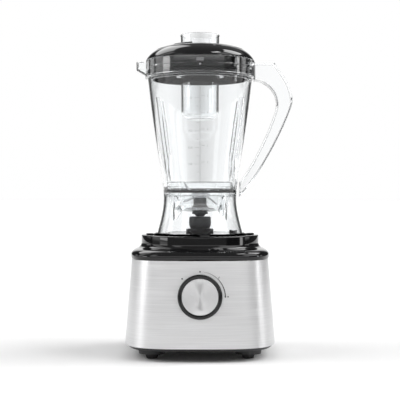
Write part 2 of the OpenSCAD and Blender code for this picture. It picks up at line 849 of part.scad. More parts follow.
module jug_body() {
  collar_in = collar_r - wall;
  color("azure", 0.35)
    union() {
      difference() {
        union() {
          difference() {
            union() {
              revolve(concat(
                [[0, jug_z0], [waist_r, jug_z0]], jug_outer,
                [[collar_r, collar_z + 1.4], [collar_r, rim_z], [0, rim_z]]
              ));
              spout_block(0);
            }
            revolve(concat(
              [[0, jug_z0 - 1], [waist_r - wall, jug_z0 - 1]], jug_inner,
              [[collar_in, collar_z + 4], [collar_in, rim_z + 1], [0, rim_z + 1]]
            ));
            spout_block(2.2);
          }
          for (a = [30, 150, 210, 330]) rib(a);
        }
      }
      handle();
    }
}

// ---------- Lid and cup ----------

skirt_r = 65.2;
lid_t = 2.4;
tube_r = 26;
dome_curve = bezier([[collar_r - 1.3, rim_z + 1.2], [collar_r - 2.9, rim_z + 5.5], [58, dome_z - 0.5],
  [38, dome_z]], 12);

module lid() {
  recess_z = dome_z - 2.3;
  color("#0b0b0d")
    union() {
      revolve(concat(
        // under the dome, from the filler tube out to the skirt and down it
        [[tube_r, recess_z], [tube_r, rim_z - 19.5], [31, rim_z - 19.5], [31, rim_z - 17.5], [28.4, rim_z - 16.5],
          [28.4, dome_z - 5.2], [42, dome_z - 2.8], [57, dome_z - 4.6], [62.4, rim_z + 6], [62.8, rim_z],
          [61, rim_z - 24.5], [63.2, rim_z - 24.5], [skirt_r, rim_z + gap], [collar_r - 1.3, rim_z + gap]],
        dome_curve,
        [[31.6, dome_z], [31.6, recess_z]]
      ));
      // bayonet ramps on the skirt
      for (a = [-100, 20, 140])
        arc_block(64.2, 66.8, rim_z - 9.5, rim_z - 7.6, a, 34);
      // the thumb lug in front of the filler
      arc_block(33, 37, dome_z - lip, dome_z + 2.2, 253, 50);
    }
}

module lid_seal() {
  color("#161616") translate([0, 0, rim_z - 16]) ring(collar_r - wall - gap, 64.4, 2.6);
}

module filler_cup() {
  foot_z = dome_z - cup_below;
  r0 = cup_r - 0.7; // the cup tapers a little towards its foot
  t = 2;
  color("azure", 0.35)
    revolve(concat(
      [[0, foot_z]], arc([r0 - 11, foot_z + 11], 11, 270, 360, 8),
      [[cup_r - 0.2, dome_z - 2], [30.9, dome_z - 2], [30.9, dome_z + 0.2], [cup_r, dome_z + 0.6],
        [cup_r, cup_top_z - 2], [cup_r + 0.5, cup_top_z - 1.4], [cup_r + 0.5, cup_top_z - 0.5],
        [cup_r, cup_top_z], [cup_r - t, cup_top_z]],
      reversed(arc([r0 - 11, foot_z + 11], 9, 270, 360, 8)), [[0, foot_z + t]]
    ));
}

// ---------- The nodes ----------

on_axis() {
  steel_skin();
  main_housing();
  top_cover();
  bottom_cover();
  rear_panel();
  cord_gland();
  feet();
  base_screws();
  cover_screws();
  knob_body();
  knob_cap();
  switch_shaft();
  rotary_switch();
  switch_nut();
  control_board();
  filter_capacitor();
  motor_stator();
  field_coils();
  upper_motor_bracket();
  lower_motor_bracket();
  motor_bolts();
  motor_dampers();
  damper_screws();
  upper_bearing();
  lower_bearing();
  brush_holders();
  carbon_brushes();
  brush_springs();
  motor_shaft();
  armature_core();
  armature_windings();
  commutator();
  cooling_fan();
  shaft_slinger();
  drive_coupling();
  jug_base();
  jug_gasket();
  bearing_housing();
  bearing_nut();
  shaft_seal();
  shaft_bushes();
  blade_shaft();
  blade_hub();
  upper_blade();
  middle_blade();
  lower_blade();
  blade_nut();
  driven_coupling();
  jug_body();
  lid();
  lid_seal();
  filler_cup();
}
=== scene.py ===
# %% [markdown]
# A countertop blender: a clear jug on a steel-clad motor base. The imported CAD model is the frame, and this
# notebook gives it its looks. Clear and glossy pieces show every facet, so they are modelled again here
# with smooth curves, in the places that the frame gives. Hidden and matt pieces keep their CAD shape.

# %% Load the frame
import json
import math
import bmesh
import bpy
from mathutils import Matrix, Vector


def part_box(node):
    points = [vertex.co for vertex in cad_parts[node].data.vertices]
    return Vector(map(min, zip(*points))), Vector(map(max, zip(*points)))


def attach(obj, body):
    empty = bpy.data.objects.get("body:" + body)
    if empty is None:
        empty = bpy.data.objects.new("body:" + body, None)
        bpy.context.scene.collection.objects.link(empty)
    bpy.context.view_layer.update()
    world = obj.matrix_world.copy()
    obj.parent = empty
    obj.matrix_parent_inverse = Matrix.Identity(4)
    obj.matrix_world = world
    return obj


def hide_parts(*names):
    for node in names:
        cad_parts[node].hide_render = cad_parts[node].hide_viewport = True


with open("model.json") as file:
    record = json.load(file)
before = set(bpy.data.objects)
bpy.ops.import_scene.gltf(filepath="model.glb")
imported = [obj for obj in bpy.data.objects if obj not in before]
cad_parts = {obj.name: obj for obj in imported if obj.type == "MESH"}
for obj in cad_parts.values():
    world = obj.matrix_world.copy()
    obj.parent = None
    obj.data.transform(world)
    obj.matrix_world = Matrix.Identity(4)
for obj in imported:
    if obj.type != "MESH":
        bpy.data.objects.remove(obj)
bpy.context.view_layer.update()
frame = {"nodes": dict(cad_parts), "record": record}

mm = 0.001
shaft_low, shaft_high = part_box("motor_shaft")
axis = Vector(((shaft_low.x + shaft_high.x) / 2, (shaft_low.y + shaft_high.y) / 2, 0))

# %% [markdown]
# Every height comes from a node's box, so the pieces stay right if the CAD model changes. They are kept in
# millimetres, as the shapes below are.

# %% Heights
skin_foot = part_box("steel_skin")[0].z / mm
skin_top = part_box("steel_skin")[1].z / mm
deck = shaft_high.z / mm - 1.5
bowl_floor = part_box("bearing_nut")[0].z / mm - 2.3
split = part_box("jug_gasket")[0].z / mm
jug_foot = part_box("jug_body")[0].z / mm
rim = deck + 224.5
dome = rim + 18.5
cup_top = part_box("filler_cup")[1].z / mm
print("skin", skin_foot, skin_top, "deck", deck, "bowl", bowl_floor)
print("split", split, "rim", rim, "top", cup_top)

# %% [markdown]
# Small things that a modeller does by hand all the time: pick nothing, pick one piece, go into edit mode,
# put the origin back with smooth shading, apply the modifiers, and turn every face outwards.

# %% Working by hand
def deselect():
    if bpy.context.object and bpy.context.object.mode != "OBJECT":
        bpy.ops.object.mode_set(mode="OBJECT")
    bpy.ops.object.select_all(action="DESELECT")
    bpy.context.tool_settings.mesh_select_mode = (True, False, False)


def take(piece):
    deselect()
    piece.select_set(True)
    bpy.context.view_layer.objects.active = piece
    return piece


def edit(piece):
    take(piece)
    bpy.ops.object.mode_set(mode="EDIT")


def settle(piece, smooth=40):
    take(piece)
    bpy.ops.object.transform_apply(location=True, rotation=True, scale=True)
    if smooth:
        bpy.ops.object.shade_smooth_by_angle(angle=math.radians(smooth))
    return piece


def apply_all(piece):
    take(piece)
    for modifier in list(piece.modifiers):
        bpy.ops.object.modifier_apply(modifier=modifier.name)
    return piece


def face_out(piece):
    """From edit mode: turn every face outwards, and check it by the sign of the volume."""
    bpy.ops.mesh.select_all(action="SELECT")
    bpy.ops.mesh.normals_make_consistent(inside=False)
    if bmesh.from_edit_mesh(piece.data).calc_volume(signed=True) < 0:
        bpy.ops.mesh.flip_normals()
    bpy.ops.object.mode_set(mode="OBJECT")


# %% [markdown]
# Outlines are lists of points in millimetres. A Bezier curve draws a sweep such as the jug's wall, an arc
# rounds an edge, and a copy moved sideways gives a wall its other side.

# %% Curves for outlines
def bezier(handles, steps=12):
    out = []
    for i in range(steps + 1):
        t = i / steps
        pulls = ((1 - t) ** 3, 3 * (1 - t) ** 2 * t, 3 * (1 - t) * t * t, t ** 3)
        out.append(tuple(sum(pull * at[k] for pull, at in zip(pulls, handles)) for k in (0, 1)))
    return out


def arc(centre, r, start, end, steps=6):
    turns = [math.radians(start + (end - start) * i / steps) for i in range(steps + 1)]
    return [(centre[0] + r * math.cos(a), centre[1] + r * math.sin(a)) for a in turns]


def moved(points, dx):
    return [(x + dx, z) for x, z in points]


# %% [markdown]
# A line is drawn by extruding one vertex from point to point. Closed and filled it becomes a plate; turned
# round the drive axis it becomes a lathe piece.

# %% Drawing a line of vertices
def trace(name, points, closed=True):
    deselect()
    bpy.ops.mesh.primitive_plane_add(size=0.002, location=points[0])
    piece = bpy.context.object
    piece.name = piece.data.name = name
    bpy.ops.object.transform_apply(location=True)
    bpy.ops.object.mode_set(mode="EDIT")
    bpy.ops.mesh.select_all(action="SELECT")
    bpy.ops.mesh.merge(type="CENTER")
    for a, b in zip(points, points[1:]):
        step = Vector(b) - Vector(a)
        bpy.ops.mesh.extrude_region_move(TRANSFORM_OT_translate={"value": step})
    if closed:
        work = bmesh.from_edit_mesh(piece.data)
        work.verts.ensure_lookup_table()
        work.verts[0].select = work.verts[-1].select = True
        work.select_flush_mode()
        bmesh.update_edit_mesh(piece.data)
        bpy.ops.mesh.edge_face_add()
    bpy.ops.mesh.select_all(action="SELECT")
    return piece


# %% [markdown]
# A turned piece: its half section is spun round the drive axis, and the doubles on the seam and at the
# poles are merged, so the mesh is closed.

# %% Turning on the lathe
def lathe(name, section, steps=96, smooth=40):
    on_axis = section[0][0] < 1e-6 and section[-1][0] < 1e-6
    points = [(axis.x + r * mm, axis.y, z * mm) for r, z in section]
    piece = trace(name, points, closed=not on_axis)
    bpy.ops.mesh.spin(steps=steps, angle=math.tau, center=(axis.x, axis.y, 0), axis=(0, 0, 1))
    bpy.ops.mesh.select_all(action="SELECT")
    bpy.ops.mesh.remove_doubles(threshold=1e-6)
    bpy.ops.mesh.dissolve_degenerate(threshold=1e-7)
    face_out(piece)
    settle(piece, smooth)
    print(name, "lathed,", len(piece.data.polygons), "faces")
    return piece


# %% [markdown]
# A flat piece is an outline filled and extruded. Pieces that are one moulding in plastic are made one mesh
# with a Boolean modifier, so that light goes through them without meeting a wall inside.

# %% Plates and Booleans
def plate(name, outline, thickness):
    """A flat plate in the XZ plane, thickness mm deep, with its middle on the drive axis."""
    points = [(axis.x + x * mm, axis.y - thickness / 2 * mm, z * mm) for x, z in outline]
    piece = trace(name, points)
    bpy.ops.mesh.edge_face_add()
    bpy.ops.mesh.extrude_region_move(TRANSFORM_OT_translate={"value": (0, thickness * mm, 0)})
    face_out(piece)
    return piece


def combine(piece, tool, how):
    change = piece.modifiers.new(how, "BOOLEAN")
    change.operation, change.object, change.solver = how, tool, "EXACT"
    apply_all(piece)
    print(how.lower(), "of", piece.name, "and", tool.name, "leaves", len(piece.data.polygons), "faces")
    bpy.data.objects.remove(tool)
    return piece


def join(piece, parts):
    deselect()
    for part in [piece] + parts:
        part.select_set(True)
    bpy.context.view_layer.objects.active = piece
    bpy.ops.object.join()
    print(piece.name, "joined from", len(parts) + 1, "pieces")
    return piece


def turned(piece, degrees):
    take(piece)
    piece.data.transform(Matrix.Translation(axis) @ Matrix.Rotation(math.radians(degrees), 4, "Z")
                         @ Matrix.Translation(-axis))
    return piece


# %% [markdown]
# The base's outline is between a square and a circle. Bevelling the corners of a square right to the middle
# of its sides, with the bevel's profile set for that squareness, gives it exactly. Squareness 2 is a
# circle, so a stack of such rings can pass from the square base to the round deck.

# %% Squarish rings
def ring(name, half_w, half_d, z, squareness, segments=24):
    deselect()
    bpy.ops.mesh.primitive_plane_add(size=2, location=(axis.x, axis.y, z * mm))
    piece = bpy.context.object
    piece.name = piece.data.name = name
    piece.scale = (half_w * mm, half_d * mm, 1)
    bpy.ops.object.transform_apply(location=True, scale=True)
    bpy.ops.object.mode_set(mode="EDIT")
    bpy.ops.mesh.select_all(action="SELECT")
    bpy.ops.mesh.bevel(
        affect="VERTICES", offset=min(half_w, half_d) * mm * 0.999, segments=segments,
        profile=math.exp(-2 * math.log(2) / squareness), clamp_overlap=True)
    bpy.ops.mesh.select_all(action="SELECT")
    bpy.ops.mesh.delete(type="ONLY_FACE")
    bpy.ops.object.mode_set(mode="OBJECT")
    return piece


# %% [markdown]
# Two rings with the same number of points are joined by bridging their edge loops. A stack of rings,
# bridged pair by pair from the first to the last, is a skin.

# %% A skin over a stack of rings
def skin_over(name, rings):
    """rings: (z, half width, half depth, squareness), from the lowest or outermost on."""
    pieces = [ring(f"{name}.{i}", w, d, z, s) for i, (z, w, d, s) in enumerate(rings)]
    loop = len(pieces[0].data.vertices)
    piece = join(pieces[0], pieces[1:])
    piece.name = piece.data.name = name
    edit(piece)
    bpy.ops.mesh.select_mode(type="EDGE")
    for i in range(len(rings) - 1):
        bpy.ops.mesh.select_all(action="DESELECT")
        work = bmesh.from_edit_mesh(piece.data)
        for e in work.edges:
            low, high = sorted(v.index // loop for v in e.verts)
            if low == high and low in (i, i + 1):
                e.select = True
        bmesh.update_edit_mesh(piece.data)
        bpy.ops.mesh.bridge_edge_loops()
    bpy.ops.mesh.select_mode(type="VERT")
    face_out(piece)
    print(name, "skinned,", len(piece.data.polygons), "faces")
    return piece


# %% [markdown]
# Steel skin: one sheet 0.8 mm thick, wrapped round four sides that lean in as they rise.

# %% Steel skin
base_w, base_d, squareness, lean_in = 191, 190, 3.6, 8.5
lean = math.atan(lean_in / (skin_top - skin_foot))


def inset_ring(z, inset):
    inset += (z - skin_foot) * math.tan(lean)
    return (z, base_w / 2 - inset, base_d / 2 - inset, squareness)


skin = skin_over("steel_skin_visual", [inset_ring(skin_foot, 0), inset_ring(skin_top, 0)])
wall = skin.modifiers.new("sheet", "SOLIDIFY")
wall.thickness, wall.offset = 0.8 * mm, -1
apply_all(skin)
print("steel skin wrapped,", len(skin.data.polygons), "faces")

# %% [markdown]
# Two holes are cut in the sheet: the window of the rear panel, and the bore that the switch comes through.

# %% Window and bore in the steel
sheet_bore_r = 5.4
window_low, window_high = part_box("rear_panel")
deselect()
bpy.ops.mesh.primitive_cube_add(size=1, location=(axis.x, window_high.y, (window_low.z + window_high.z) / 2))
window = bpy.context.object
window.scale = (60 * mm, 40 * mm, window_high.z - window_low.z)
bpy.ops.object.transform_apply(location=True, scale=True)
combine(skin, window, "DIFFERENCE")
knob_low, knob_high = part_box("knob_body")
deselect()
bpy.ops.mesh.primitive_cylinder_add(
    radius=sheet_bore_r * mm, depth=0.05, vertices=48, rotation=(math.pi / 2, 0, 0),
    location=(axis.x, knob_low.y, (knob_low.z + knob_high.z) / 2))
combine(skin, bpy.context.object, "DIFFERENCE")
settle(skin, 30)
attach(skin, "base"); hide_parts("steel_skin")

# %% [markdown]
# Top cover: one glossy moulding. Its shoulder follows the steel's outline, then a cove sweeps up into the
# round deck, so the rings pass from squarish to round.

# %% Top cover
shoulder = [(0.2, 0.2), (1.2, -0.7), (3.5, -1.1), (6, -1.0), (8, -0.3), (9.8, 1.2), (11.2, 3.4), (12.2, 6.2)]
edge = (skin_top - skin_foot) * math.tan(lean)
stack = [(skin_top + h, base_w / 2 - edge - i, base_d / 2 - edge - i, squareness) for h, i in shoulder]
top = skin_top + 12.5
stack += [(top + 0.1, 79.5, 79.5, 3.0), (top + 0.6, 79, 79, 2.4), (top + 1.6, 78.4, 78.4, 2.0)]
stack += [(z, r, r, 2.0) for r, z in arc((82.5, top + 6.5), 6.5, 232, 180, 6)[1:]]
stack += [(z, r, r, 2.0) for r, z in arc((74.5, deck - 1.5), 1.5, 0, 90, 4)]
stack += [(deck, r, r, 2.0) for r in (72, 60, 59.5)]
stack += [(deck - 0.8, r, r, 2.0) for r in (59.2, 50.8)]
stack += [(deck, r, r, 2.0) for r in (50.5, 14)] + [(deck - 0.5, 13, 13, 2.0), (deck - 4, 13, 13, 2.0)]
cover = skin_over("top_cover_visual", stack)
wall = cover.modifiers.new("wall", "SOLIDIFY")
wall.thickness, wall.offset = 2.4 * mm, -1
apply_all(cover)
print("cover moulded,", len(cover.data.polygons), "faces")

# %% [markdown]
# Lugs: curved blocks that stand on the deck. The inner four lock the jug, the outer four a wider bowl. A
# block is a small section spun through part of a turn.

# %% Lugs
def curved_block(name, r_in, r_out, z0, z1, start, sweep):
    section = [(r_in, z0), (r_out, z0), (r_out, z1 - 0.5), (r_out - 0.5, z1), (r_in + 0.5, z1),
               (r_in, z1 - 0.5)]
    piece = trace(name, [(axis.x + r * mm, axis.y, z * mm) for r, z in section])
    bpy.ops.mesh.edge_face_add()
    bpy.ops.mesh.spin(steps=max(4, round(sweep / 4)), angle=math.radians(sweep),
                      center=(axis.x, axis.y, 0), axis=(0, 0, 1))
    bpy.ops.mesh.select_all(action="SELECT")
    bpy.ops.mesh.remove_doubles(threshold=1e-6)
    face_out(piece)
    return turned(piece, start)


lugs = [curved_block("lug", 42, 48.5, deck - 0.4, deck + 5.5, a, 45) for a in (22, 113)]
lugs += [curved_block("lug", 42, 48.5, deck - 0.4, deck + 2, a, 45) for a in (207, 288)]
lugs += [curved_block("lug", 61, 70, deck - 0.4, deck + 1.8, a, 10) for a in (10, 100, 190, 280)]
join(cover, lugs)
settle(cover, 35)
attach(cover, "base"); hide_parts("top_cover")

# %% [markdown]
# Jug: a wall of even thickness, turned round the axis, with a collar at the mouth. Spout, ribs and handle
# are part of the same moulding, so they are joined to it by Boolean operations and light passes through
# them as one body.

# %% Jug wall
waist, wall_t, collar = 47.3, 2.8, 70.9
collar_foot = rim - 23.5
jug_outer = bezier([(waist, jug_foot + 3.5), (waist + 0.3, jug_foot + 23.5), (waist + 12.2, jug_foot + 71.5),
                    (collar - 3.5, collar_foot - 1)], 28)
jug_inner = [(waist - wall_t, jug_foot + 12)] + moved([p for p in jug_outer if p[1] > jug_foot + 16], -wall_t)
collar_outer = [(collar - 3.2, collar_foot + 0.4), (collar - 0.5, collar_foot + 0.9),
                (collar, collar_foot + 1.4), (collar, rim - 10.3), (collar + 0.35, rim - 9.9),
                (collar + 0.35, rim - 9.5), (collar, rim - 9.1), (collar, rim - 1)]
jug = lathe("jug_visual", [(waist - wall_t, jug_foot), (waist, jug_foot)] + jug_outer + collar_outer
            + arc((collar - 1, rim - 1), 1, 30, 90, 3) + arc((collar - wall_t + 1, rim - 1), 1, 90, 180, 3)
            + [(collar - wall_t, collar_foot + 4.4), (collar - wall_t - 0.4, collar_foot + 3.7),
               (collar - wall_t - 3.2, collar_foot + 3.1)] + jug_inner[:-1][::-1], steps=128)

# %% [markdown]
# Handle: a web with a flange round its whole edge, an I-beam in section. Its outline is four sweeps: down
# the outside from the collar to the tail, and back up the inside.

# %% Handle outline
reach = 119.6
root, end = collar - 2.1, waist + 3.5
outer_edge = bezier([(reach - 23.4, rim - 2.3), (reach - 13.6, rim - 15.5), (reach - 0.6, rim - 31.5),
                     (reach, rim - 51.5)], 12)
outer_edge += bezier([(reach, rim - 51.5), (reach + 0.2, rim - 63.5), (reach - 35.2, rim - 142.5),
                      (end, rim - 175.6)], 20)[1:]
inner_edge = bezier([(end, rim - 156.6), (end + 18, rim - 137), (reach - 20, rim - 70.5),
                     (reach - 20.4, rim - 54.5)], 20)
inner_edge += bezier([(reach - 20.4, rim - 54.5), (reach - 21.1, rim - 37.5), (reach - 35.6, rim - 25.3),
                      (root + 1.2, rim - 25.3)], 12)[1:]
outline = [(root, rim - 2.3)] + outer_edge + inner_edge + [(root, rim - 23)]
print("handle outlined with", len(outline), "points")

# %% [markdown]
# The plate's two faces are inset by the flange's width and pushed in, which leaves the web between them. A
# Bevel modifier breaks the sharp edges, as a mould does.

# %% Handle
handle_w, flange_t, flange_depth = 18, 2.6, 7.2


def softened(piece, width):
    soft = piece.modifiers.new("soft", "BEVEL")
    soft.width, soft.segments, soft.limit_method, soft.angle_limit = width * mm, 2, "ANGLE", math.radians(50)
    return apply_all(piece)


handle = plate("handle", outline, handle_w)
edit(handle)
bpy.ops.mesh.select_mode(type="FACE")
for side in (-1, 1):
    bpy.ops.mesh.select_all(action="DESELECT")
    work = bmesh.from_edit_mesh(handle.data)
    for f in work.faces:
        f.select = f.normal.y * side > 0.99 and f.calc_area() > 1e-3
    bmesh.update_edit_mesh(handle.data)
    bpy.ops.mesh.inset(thickness=flange_t * mm, use_even_offset=True)
    bpy.ops.transform.translate(value=(0, -side * flange_depth * mm, 0))
bpy.ops.object.mode_set(mode="OBJECT")
combine(jug, softened(handle, 0.7), "UNION")
print("jug with handle,", len(jug.data.polygons), "faces")

# %% [markdown]
# Spout: a short beak. A block is drawn out to a point, joined to the collar, and a smaller one is cut out
# of it.

# %% Spout
def beak(name, inset):
    deselect()
    bpy.ops.mesh.primitive_cube_add(size=1, location=(0, 0, 0))
    piece = bpy.context.object
    piece.name = name
    back, tip = -collar + 4, -collar - 11.5 + inset * 1.2
    for v in piece.data.vertices:
        out, side, up = v.co.x < 0, 1 if v.co.y > 0 else -1, v.co.z > 0
        x = tip if out else back
        y = side * ((2.6 if up else 1.6) if out else 17 - inset)
        z = (rim + (1 if inset else -0.4)) if up else (rim - 12 + inset if out else collar_foot + 2 + inset)
        v.co = (axis.x + x * mm, axis.y + y * mm, z * mm)
    round_off = piece.modifiers.new("round", "BEVEL")
    round_off.width, round_off.segments = 1.6 * mm, 3
    return apply_all(piece)


spout_t = 2.2
combine(jug, beak("spout", 0), "UNION")
combine(jug, beak("spout_inside", spout_t), "DIFFERENCE")
print("jug with spout,", len(jug.data.polygons), "faces")

# %% [markdown]
# Ribs: four baffles on the inside of the wall, deepest near the top, that turn the food back to the blades.

# %% Ribs
rib_t = 3
along = [jug_outer[i] for i in range(6, 26)]
depth = [5.5 * min(1, i / 8) - 1.5 * max(0, i - 15) / 4 for i in range(len(along))]
for angle in (30, 150, 210, 330):
    crest = [(x - wall_t - d - 0.4, z) for (x, z), d in zip(along, depth)]
    outline = moved(along, -wall_t + 0.9) + crest[::-1]
    rib = softened(plate("rib", outline, rib_t), 0.8)
    combine(jug, turned(rib, angle), "UNION")
settle(jug, 32)
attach(jug, "jug"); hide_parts("jug_body")
print("jug,", len(jug.data.polygons), "faces")

# %% [markdown]
# Blade carrier: a flared skirt with a bowl hanging inside it, four gussets between them and a threaded
# spigot.

# %% Blade carrier
skirt = bezier([(waist - 0.1, split - 1), (waist - 0.7, deck + 34), (waist + 3.2, deck + 21),
                (56, deck + 0.3)], 20)
bowl = bezier([(39.6, split - 1), (37.5, split - 9), (35.5, split - 21), (29, bowl_floor + 2.2)], 12)
skirt_inside = moved(skirt, -wall_t)[::-1][:-1]
bowl_t, flange_z = 2.2, split - 2.4
under_bowl = [(44.3, flange_z), (41.6, flange_z)] + moved(bowl, bowl_t)[1:] + [(6.7, bowl_floor)]
spigot = [(40.2, split + 13), (41.2, split + 14), (43.2, split + 13), (43.2, split), (waist - 0.1, split)]
carrier = lathe("jug_base_visual", skirt + skirt_inside + under_bowl + [(6.7, bowl_floor + bowl_t)]
                + bowl[::-1] + spigot, steps=128)

# %% [markdown]
# Gussets are thin plates turned to their places. The thread is three short curved blocks round the spigot.

# %% Gussets and thread
for angle in (45, 135, 225, 315):
    web = plate("web", [(33, bowl_floor + 3), (45.6, deck + 19), (46.2, split - 6), (41, split - 4),
                        (38.6, split - 14)], 2.4)
    combine(carrier, turned(web, angle), "UNION")
for angle in (0, 120, 240):
    combine(carrier, curved_block("thread", 43, 43.9, split + 5, split + 8, angle, 60), "UNION")
settle(carrier, 32)
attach(carrier, "blade_carrier"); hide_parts("jug_base")

# %% [markdown]
# Lid: a glossy dome with a skirt that goes into the jug's collar and a tube that holds the filler cup.

# %% Lid
lid_edge = collar - 1.3
dome_curve = bezier([(lid_edge, rim + 1.2), (lid_edge - 1.6, rim + 5.5), (58, dome - 0.5), (38, dome)], 20)
recess = dome - 2.3
tube = [(26, recess), (26, rim - 19.5), (31, rim - 19.5), (31, rim - 17.5), (28.4, rim - 16.5),
        (28.4, dome - 5.2)]
under_dome = [(42, dome - 2.8), (57, dome - 4.6), (62.4, rim + 6), (62.8, rim)]
lid_skirt = [(61, rim - 24.5), (63.2, rim - 24.5), (65.2, rim + 0.3), (lid_edge - 0.4, rim + 0.3),
             (lid_edge, rim + 0.7)]
lid = lathe("lid_visual", tube + under_dome + lid_skirt + dome_curve
            + [(32.4, dome)] + arc((32.4, dome - 0.8), 0.8, 90, 180, 3) + [(31.6, recess)], steps=128)
parts = [curved_block("ramp", 64.2, 66.8, rim - 9.5, rim - 7.6, a, 34) for a in (-100, 20, 140)]
parts += [curved_block("thumb", 33, 37, dome - 0.4, dome + 2.2, 253, 50)]
join(lid, parts)
settle(lid, 35)
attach(lid, "lid"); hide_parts("lid")

# %% [markdown]
# Filler cup: a clear beaker with a round foot that hangs through the lid by its flange.

# %% Filler cup
cup_r, foot = 25.1, dome - 94
body_r = cup_r - 0.7
cup = lathe("filler_cup_visual", [(0, foot)] + arc((body_r - 11, foot + 11), 11, 270, 360, 10)
            + [(cup_r - 0.2, dome - 2), (30.5, dome - 2), (30.9, dome - 1.6), (30.9, dome - 0.2),
               (30.5, dome + 0.2), (cup_r + 0.4, dome + 0.6), (cup_r, dome + 1.4),
               (cup_r, cup_top - 2), (cup_r + 0.5, cup_top - 1.4)]
            + arc((cup_r - 0.3, cup_top - 0.8), 0.8, 0, 90, 4)
            + arc((cup_r - 1.2, cup_top - 0.8), 0.8, 90, 180, 4)
            + arc((body_r - 11, foot + 11), 9, 360, 270, 10) + [(0, foot + 2)], steps=96)
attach(cup, "cup"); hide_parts("filler_cup")

# %% [markdown]
# Knob: turned pieces again, drawn upright on the drive axis and then tipped onto the leaning front panel.

# %% Knob
dial = 79  # height of the knob's centre


def onto_front(piece):
    """From upright on the drive axis at height 0 to the front panel: up becomes out of the panel."""
    panel_y = -(base_d / 2 - (dial - skin_foot) * math.tan(lean)) * mm
    place = Matrix.Translation((axis.x, axis.y + panel_y, dial * mm))
    place = place @ Matrix.Rotation(math.pi / 2 - lean, 4, "X")
    piece.data.transform(place @ Matrix.Translation((-axis.x, -axis.y, 0)))
    return piece


knob_r, knob_h = 27, 17
cap_seat = [(22.8, knob_h - 0.4), (22.3, knob_h - 0.8), (22.2, knob_h - 2), (0, knob_h - 2)]
knob = lathe("knob_body_visual", [(0, 1.2), (knob_r - 0.4, 1.2), (knob_r, 1.6), (knob_r, knob_h - 2.4)]
             + arc((knob_r - 2, knob_h - 2.4), 2, 0, 90, 6) + cap_seat)
onto_front(knob)
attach(knob, "knob"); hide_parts("knob_body")

# %% [markdown]
# Cap: a thin disc of aluminium, spun under a tool, so its fine scratches run round it and throw fans of
# light. The metal needs to know which way round is, so the cap gets a UV map of turn and radius.

# %% Knob cap
dished = [(20.5, knob_h - 0.35), (14, knob_h - 0.5), (7, knob_h - 0.6), (0, knob_h - 0.6)]
cap = lathe("knob_cap_visual", [(0, knob_h - 2), (21.9, knob_h - 2), (22, knob_h - 1.9), (22, knob_h - 0.7)]
            + arc((21.5, knob_h - 0.7), 0.5, 0, 90, 4) + dished)
polar = cap.data.uv_layers.new(name="polar")
for face in cap.data.polygons:
    middle = math.atan2(face.center.y - axis.y, face.center.x - axis.x)
    for corner in face.loop_indices:
        at = cap.data.vertices[cap.data.loops[corner].vertex_index].co - axis
        turn = math.atan2(at.y, at.x) if at.xy.length > 1e-6 else middle
        turn += math.tau * round((middle - turn) / math.tau)
        polar.data[corner].uv = (turn / math.tau + 0.5, at.xy.length * 20)
onto_front(cap)
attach(cap, "knob"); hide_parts("knob_cap")

# %% [markdown]
# Printed marks. Ink has a thickness, however small, and the panel and the jug are curved, so each mark is
# drawn flat in front of the object, pressed back onto it with a Shrinkwrap modifier and given 0.05 mm of
# thickness.

# %% Printing
print_y, ink_t = axis.y - 0.15, 0.05  # the first in metres, in front of the object


def press_on(name, pieces, target):
    piece = join(pieces[0], pieces[1:])
    piece.name = piece.data.name = name
    wrap = piece.modifiers.new("wrap", "SHRINKWRAP")
    wrap.wrap_method, wrap.target, wrap.offset = "PROJECT", target, 0.00002
    wrap.use_project_y, wrap.use_negative_direction, wrap.use_positive_direction = True, False, True
    edit(apply_all(piece))
    bpy.ops.mesh.select_all(action="SELECT")
    bpy.ops.mesh.normals_make_consistent(inside=False)
    bpy.ops.object.mode_set(mode="OBJECT")
    if sum(f.normal.y * f.area for f in piece.data.polygons) > 0:
        piece.data.flip_normals()
    ink = piece.modifiers.new("ink", "SOLIDIFY")
    ink.thickness, ink.offset = ink_t * mm, 1
    return apply_all(piece)


def printed(name, shapes, target):
    """shapes: outlines of (x, z) in mm about the drive axis, seen from the front."""
    pieces = []
    for outline in shapes:
        pieces.append(trace(name, [(axis.x + x * mm, print_y, z * mm) for x, z in outline]))
        bpy.ops.mesh.edge_face_add()
        bpy.ops.mesh.quads_convert_to_tris()
        bpy.ops.mesh.subdivide(number_cuts=1)
        bpy.ops.object.mode_set(mode="OBJECT")
    return press_on(name, pieces, target)


def dot(x, z, r):
    return arc((x, z), r, 0, 337.5, 15)


def bar(x0, z0, x1, z1):
    return [(x0, z0), (x1, z0), (x1, z1), (x0, z1)]


# %% [markdown]
# Dial marks: a dot at each rest of the knob, and an arc that grows from off to full speed.

# %% Dial marks
def clockwise(r, degrees):
    turn = math.radians(degrees)
    return (r * math.sin(turn), dial + r * math.cos(turn))


mark_r = 30.1
swell = [clockwise(mark_r, a) for a in range(6, 91, 6)]
swell += [clockwise(mark_r + a / 70, a) for a in range(90, 5, -6)]
low_speed = [(22.1, dial + 22.0), (22.6, dial + 21.6), (23.9, dial + 24.1), (23.4, dial + 24.4)]
dots = [dot(-21.7, dial + 21.7, 0.95), dot(0, dial + 30.2, 0.95)]
full_speed = [dot(30.7, dial, 1.05), dot(34, dial, 0.85)]
dial_marks = printed("dial_marks", dots + [swell, low_speed] + full_speed, skin)
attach(dial_marks, "base")

# %% [markdown]
# Scale on the jug: a line up the front with ticks and plain numbers, millilitres on the left, cups on the
# right.

